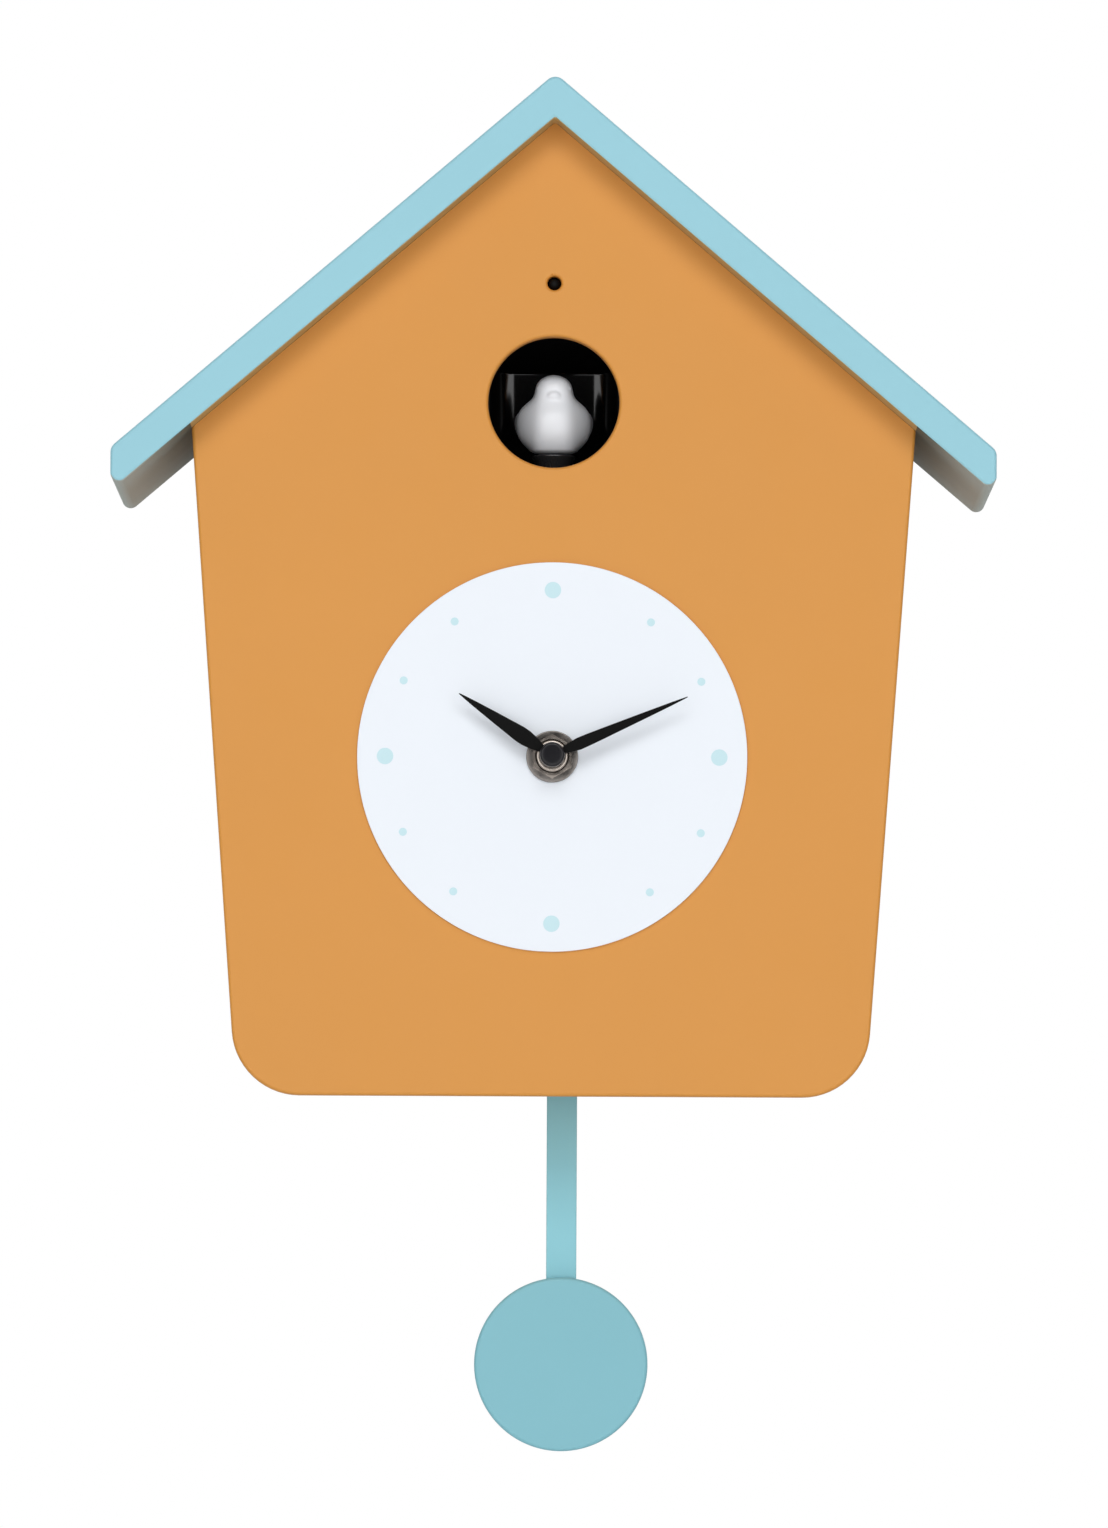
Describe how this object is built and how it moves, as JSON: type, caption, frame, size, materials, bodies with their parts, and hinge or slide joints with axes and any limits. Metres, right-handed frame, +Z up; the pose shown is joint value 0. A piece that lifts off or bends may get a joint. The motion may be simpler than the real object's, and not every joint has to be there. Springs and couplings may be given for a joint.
{
  "type": "cuckoo clock",
  "caption": "House-shaped wall cuckoo clock: pitched blue roof, orange tapered front, round white dial, bird in a round window and a flat pendulum with a disc.",
  "frame": {"origin": "the hanging point: the wall hook in the keyhole of the back cover, on the wall plane", "axes": "+Z up, -Y out of the clock face, +X to the right seen from the front"},
  "size_m": [0.215, 0.0806, 0.3335],
  "materials": {
    "roof_blue": "satin light blue",
    "pendulum_blue": "satin light blue",
    "panel_orange": "satin orange",
    "dial_white": "matt white print",
    "hand_black": "matt black",
    "chamber_black": "glossy black",
    "bird_white": "soft white",
    "nut_metal": "dark chrome",
    "brass": "turned brass",
    "steel": "plated steel",
    "ferrite": "sintered ferrite",
    "copper": "enamelled copper winding",
    "case_plastic": "fine textured black",
    "gear_plastic": "natural white moulded gear plastic",
    "circuit_board": "green solder mask",
    "speaker_paper": "black pressed paper",
    "cell_wrap": "printed cell sleeve, left plain"
  },
  "bodies": {
    "case": {"back_cover": "case_plastic", "battery_1": "cell_wrap", "battery_2": "cell_wrap", "battery_3": "cell_wrap", "battery_tray": "case_plastic", "bird_chamber": "chamber_black", "bird_motor": "steel", "carriage_guide": "case_plastic", "control_board": "circuit_board", "cover_screw_1": "steel", "cover_screw_2": "steel", "cover_screw_3": "steel", "cover_screw_4": "steel", "dial": "dial_white", "front_panel": "panel_orange", "hanger_plate": "steel", "hex_nut": "nut_metal", "housing": "panel_orange", "light_sensor": "chamber_black", "motor_bracket": "steel", "motor_coil": "copper", "movement_board": "circuit_board", "movement_case": "case_plastic", "movement_cover": "case_plastic", "pendulum_coil": "copper", "pendulum_frame": "case_plastic", "quartz_crystal": "steel", "roof": "roof_blue", "speaker_cone": "speaker_paper", "speaker_frame": "case_plastic", "speaker_magnet": "ferrite", "stator": "steel", "threaded_bushing": "brass", "train_bridge": "brass", "washer": "nut_metal"},
    "pendulum": {"pendulum_hanger": "case_plastic", "pendulum_magnet": "ferrite", "pendulum_rod": "pendulum_blue", "pendulum_disc": "pendulum_blue"},
    "minute_hand_set": {"minute_hand": "hand_black", "hand_cap": "hand_black", "minute_shaft": "steel"},
    "hour_hand_set": {"hour_hand": "hand_black", "hour_wheel": "gear_plastic"},
    "minute_wheel": {"minute_wheel": "gear_plastic"},
    "setting_knob": {"setting_knob": "case_plastic"},
    "rotor": {"rotor": "ferrite"},
    "intermediate_wheel": {"intermediate_wheel": "gear_plastic"},
    "seconds_wheel": {"seconds_wheel": "gear_plastic"},
    "third_wheel": {"third_wheel": "gear_plastic"},
    "centre_wheel": {"centre_wheel": "gear_plastic"},
    "bird_carriage": {"bird_carriage": "gear_plastic", "bird": "bird_white", "bird_stand": "chamber_black"},
    "rack_gear": {"rack_gear": "gear_plastic"},
    "motor_pinion": {"motor_pinion": "brass"},
    "battery_door": {"battery_door": "case_plastic"},
    "sound_switch": {"sound_switch": "case_plastic"},
    "volume_dial": {"volume_dial": "case_plastic"},
    "test_button": {"test_button": "case_plastic"}
  },
  "joints": [
    {"name": "pendulum_swing", "type": "hinge", "parent": "case", "child": "pendulum", "pos_m": [0.0028, -0.037, -0.097], "axis": [0, 1, 0], "range_deg": [-7, 7]},
    {"name": "minute_hand_turn", "type": "hinge", "parent": "case", "child": "minute_hand_set", "pos_m": [0, -0.06, -0.1226], "axis": [0, 1, 0], "continuous": true},
    {"name": "hour_hand_turn", "type": "hinge", "parent": "case", "child": "hour_hand_set", "pos_m": [0, -0.06, -0.1226], "axis": [0, 1, 0], "continuous": true},
    {"name": "minute_wheel_turn", "type": "hinge", "parent": "case", "child": "minute_wheel", "pos_m": [0.00606, -0.06, -0.1191], "axis": [0, 1, 0], "continuous": true},
    {"name": "setting_knob_turn", "type": "hinge", "parent": "case", "child": "setting_knob", "pos_m": [0.01296, -0.06, -0.11788], "axis": [0, 1, 0], "continuous": true},
    {"name": "seconds_wheel_turn", "type": "hinge", "parent": "case", "child": "seconds_wheel", "pos_m": [-0.01107, -0.06, -0.13396], "axis": [0, 1, 0], "continuous": true},
    {"name": "rotor_turn", "type": "hinge", "parent": "case", "child": "rotor", "pos_m": [0.00099, -0.06, -0.1365], "axis": [0, 1, 0], "continuous": true},
    {"name": "intermediate_wheel_turn", "type": "hinge", "parent": "case", "child": "intermediate_wheel", "pos_m": [-0.0037, -0.06, -0.13821], "axis": [0, 1, 0], "continuous": true},
    {"name": "third_wheel_turn", "type": "hinge", "parent": "case", "child": "third_wheel", "pos_m": [-0.00799, -0.06, -0.12551], "axis": [0, 1, 0], "continuous": true},
    {"name": "centre_wheel_turn", "type": "hinge", "parent": "case", "child": "centre_wheel", "pos_m": [0, -0.06, -0.1226], "axis": [0, 1, 0], "continuous": true},
    {"name": "bird_slide", "type": "slide", "parent": "case", "child": "bird_carriage", "axis": [0, -1, 0], "range_m": [0, 0.01]},
    {"name": "rack_gear_turn", "type": "hinge", "parent": "case", "child": "rack_gear", "pos_m": [0.0128, -0.0507, -0.063], "axis": [0, 0, 1], "range_deg": [0, 120]},
    {"name": "motor_pinion_turn", "type": "hinge", "parent": "case", "child": "motor_pinion", "pos_m": [0.02046, -0.04427, -0.068], "axis": [0, 0, 1], "range_deg": [-480, 0]},
    {"name": "battery_door_hinge", "type": "hinge", "parent": "case", "child": "battery_door", "pos_m": [0.04, -0.0015, -0.141], "axis": [1, 0, 0], "range_deg": [0, 100]},
    {"name": "sound_switch_slide", "type": "slide", "parent": "case", "child": "sound_switch", "axis": [-1, 0, 0], "range_m": [0, 0.004]},
    {"name": "volume_dial_turn", "type": "hinge", "parent": "case", "child": "volume_dial", "pos_m": [0.02, -0.004, -0.074], "axis": [0, 1, 0], "range_deg": [-140, 140]},
    {"name": "test_button_press", "type": "slide", "parent": "case", "child": "test_button", "axis": [0, -1, 0], "range_m": [0, 0.001], "stiffness_N_per_m": 400, "springref_m": -0.0005}
  ],
  "couplings": [
    {"joint": "hour_hand_turn", "follows": "minute_hand_turn", "ratio": 0.083333},
    {"joint": "minute_wheel_turn", "follows": "minute_hand_turn", "ratio": -0.33333},
    {"joint": "setting_knob_turn", "follows": "minute_hand_turn", "ratio": 1},
    {"joint": "rotor_turn", "follows": "seconds_wheel_turn", "ratio": 30},
    {"joint": "intermediate_wheel_turn", "follows": "seconds_wheel_turn", "ratio": -7.5},
    {"joint": "third_wheel_turn", "follows": "seconds_wheel_turn", "ratio": -0.125},
    {"joint": "centre_wheel_turn", "follows": "seconds_wheel_turn", "ratio": 0.016667},
    {"joint": "rack_gear_turn", "follows": "bird_slide", "rad_per_m": 208.33},
    {"joint": "motor_pinion_turn", "follows": "bird_slide", "rad_per_m": -833.33}
  ]
}
